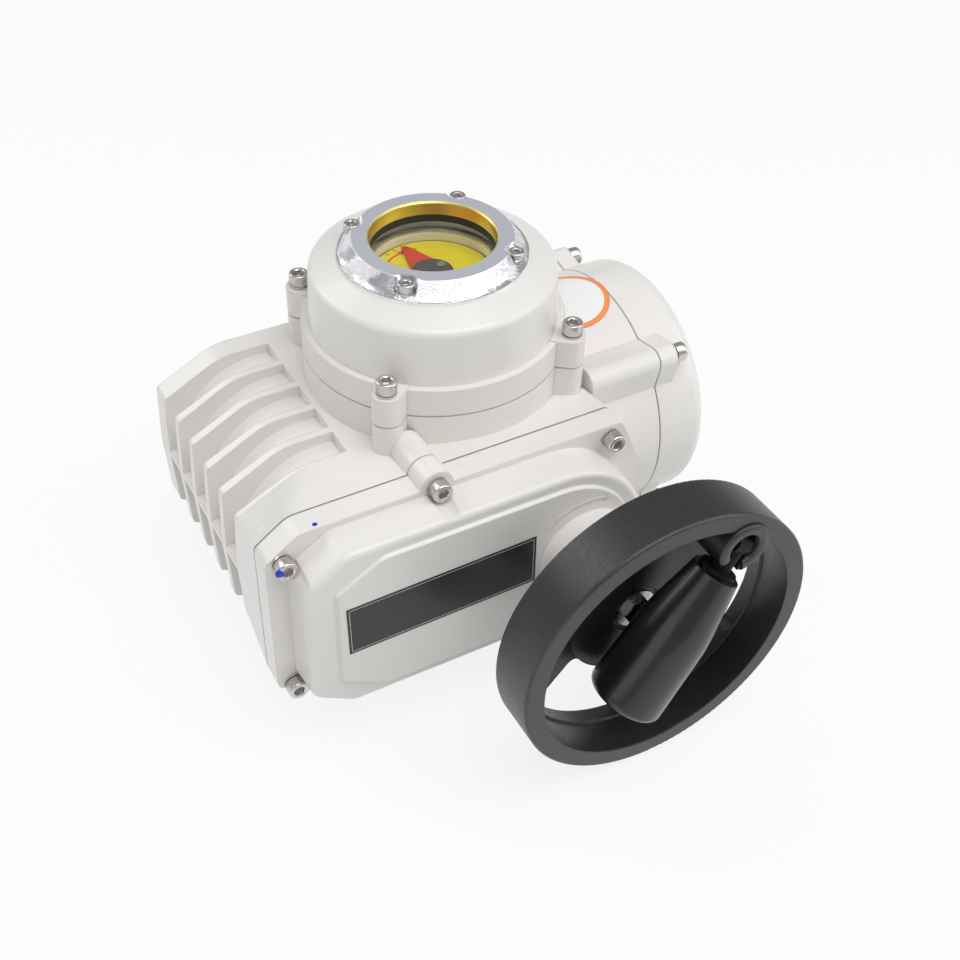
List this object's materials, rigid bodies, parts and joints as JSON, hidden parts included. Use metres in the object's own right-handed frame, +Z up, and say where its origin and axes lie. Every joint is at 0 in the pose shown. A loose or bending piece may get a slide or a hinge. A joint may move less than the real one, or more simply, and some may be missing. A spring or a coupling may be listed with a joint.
{
  "type": "rotary valve actuator",
  "caption": "Electric quarter-turn valve actuator: finned gearbox, round wiring housing, domed position window and dished handwheel with a folding crank handle.",
  "frame": {"origin": "centre of the valve mounting face, on the output axis", "axes": "+Z up along the output shaft, away from the valve; +X toward the round wiring housing; -Y toward the handwheel"},
  "size_m": [0.2613, 0.2721, 0.2058],
  "materials": {
    "casting_paint": "satin off-white enamel on cast aluminium",
    "gasket": "matt",
    "stainless": "bright turned stainless steel",
    "bezel_metal": "satin flat, bright cone",
    "clear_glass": "clear polished",
    "dial_yellow": "satin",
    "pointer_red": "satin",
    "hub_grey": "satin",
    "plug_plastic": "fine grain",
    "machined_steel": "turned",
    "bronze": "machined",
    "cam_plastic": "moulded",
    "switch_plastic": "moulded",
    "spring_steel": "stamped",
    "motor_can": "satin black",
    "board_green": "solder mask",
    "brass_posts": "turned",
    "terminal_green": "moulded",
    "wheel_black": "satin black coating",
    "grip_black": "glossy"
  },
  "bodies": {
    "housing": {"housing": "casting_paint", "turret_cover": "casting_paint", "turret_gasket": "gasket", "turret_screws": "stainless", "spring_washers": "stainless", "bezel_ring": "bezel_metal", "bezel_screws": "stainless", "bezel_washers": "stainless", "sight_glass": "clear_glass", "window_gasket": "gasket", "window_seal": "gasket", "dial_plate": "dial_yellow", "dial_pillars": "stainless", "front_cover": "casting_paint", "front_cover_gasket": "gasket", "front_cover_screws": "stainless", "end_cap": "casting_paint", "end_cap_gasket": "gasket", "end_cap_screws": "stainless", "inner_screws": "stainless", "output_bushing": "bronze", "output_seal": "gasket", "bearing_plate": "machined_steel", "worm_bearing": "machined_steel", "worm_bushing": "bronze", "worm_shaft_seal": "gasket", "gear_motor": "motor_can", "idler_stud": "machined_steel", "idler_clip": "machined_steel", "switch_bracket": "spring_steel", "limit_switches": "switch_plastic", "position_sensor": "switch_plastic", "circuit_board": "board_green", "board_posts": "brass_posts", "terminal_strip": "terminal_green", "relay": "switch_plastic", "capacitor": "motor_can", "conduit_plugs": "plug_plastic"},
    "output": {"output_shaft": "machined_steel", "worm_wheel": "bronze", "open_cam": "cam_plastic", "close_cam": "cam_plastic", "feedback_gear": "cam_plastic", "pointer": "pointer_red", "pointer_hub": "hub_grey", "pointer_screws": "stainless"},
    "handwheel_shaft": {"worm_shaft": "machined_steel", "worm_gear": "machined_steel", "handwheel": "wheel_black", "handwheel_washer": "stainless", "handwheel_screw": "stainless", "handle_pivot_pin": "stainless"},
    "folding_handle": {"handle_neck": "machined_steel"},
    "turning_grip": {"grip": "grip_black"},
    "idler": {"idler_gear": "machined_steel"},
    "motor_output": {"motor_pinion": "machined_steel"},
    "sensor_shaft": {"sensor_pinion": "cam_plastic"},
    "open_lever": {"open_switch_lever": "spring_steel"},
    "close_lever": {"close_switch_lever": "spring_steel"}
  },
  "joints": [
    {"name": "output_turn", "type": "hinge", "parent": "housing", "child": "output", "pos_m": [0, 0, 0.08], "axis": [0, 0, 1], "range_deg": [0, 90]},
    {"name": "handwheel_turn", "type": "hinge", "parent": "housing", "child": "handwheel_shaft", "pos_m": [0.027, -0.1, 0.08], "axis": [0, -1, 0], "range_deg": [0, 2160]},
    {"name": "idler_turn", "type": "hinge", "parent": "housing", "child": "idler", "pos_m": [-0.02475, -0.09, 0.08], "axis": [0, 1, 0], "range_deg": [0, 1080]},
    {"name": "motor_turn", "type": "hinge", "parent": "housing", "child": "motor_output", "pos_m": [-0.0765, -0.09, 0.08], "axis": [0, -1, 0], "range_deg": [0, 2160]},
    {"name": "sensor_turn", "type": "hinge", "parent": "housing", "child": "sensor_shaft", "pos_m": [0.032, 0, 0.14], "axis": [0, 0, -1], "range_deg": [0, 270]},
    {"name": "handle_fold", "type": "hinge", "parent": "handwheel_shaft", "child": "folding_handle", "pos_m": [0.05956, -0.1774, 0.1292], "axis": [-0.8339, 0, 0.5519], "range_deg": [0, 90]},
    {"name": "grip_spin", "type": "hinge", "parent": "folding_handle", "child": "turning_grip", "pos_m": [0.05956, -0.1774, 0.1292], "axis": [-0.5519, 0, -0.8339], "continuous": true},
    {"name": "open_lever_press", "type": "hinge", "parent": "housing", "child": "open_lever", "pos_m": [0.0095, -0.0342, 0.12], "axis": [0, 0, 1], "range_deg": [0, 6], "stiffness_Nm_per_rad": 0.02},
    {"name": "close_lever_press", "type": "hinge", "parent": "housing", "child": "close_lever", "pos_m": [0.0095, -0.0342, 0.13], "axis": [0, 0, 1], "range_deg": [0, 6], "stiffness_Nm_per_rad": 0.02}
  ],
  "couplings": [
    {"joint": "handwheel_turn", "follows": "output_turn", "ratio": 24},
    {"joint": "idler_turn", "follows": "output_turn", "ratio": 12},
    {"joint": "motor_turn", "follows": "output_turn", "ratio": 24},
    {"joint": "sensor_turn", "follows": "output_turn", "ratio": 3}
  ]
}
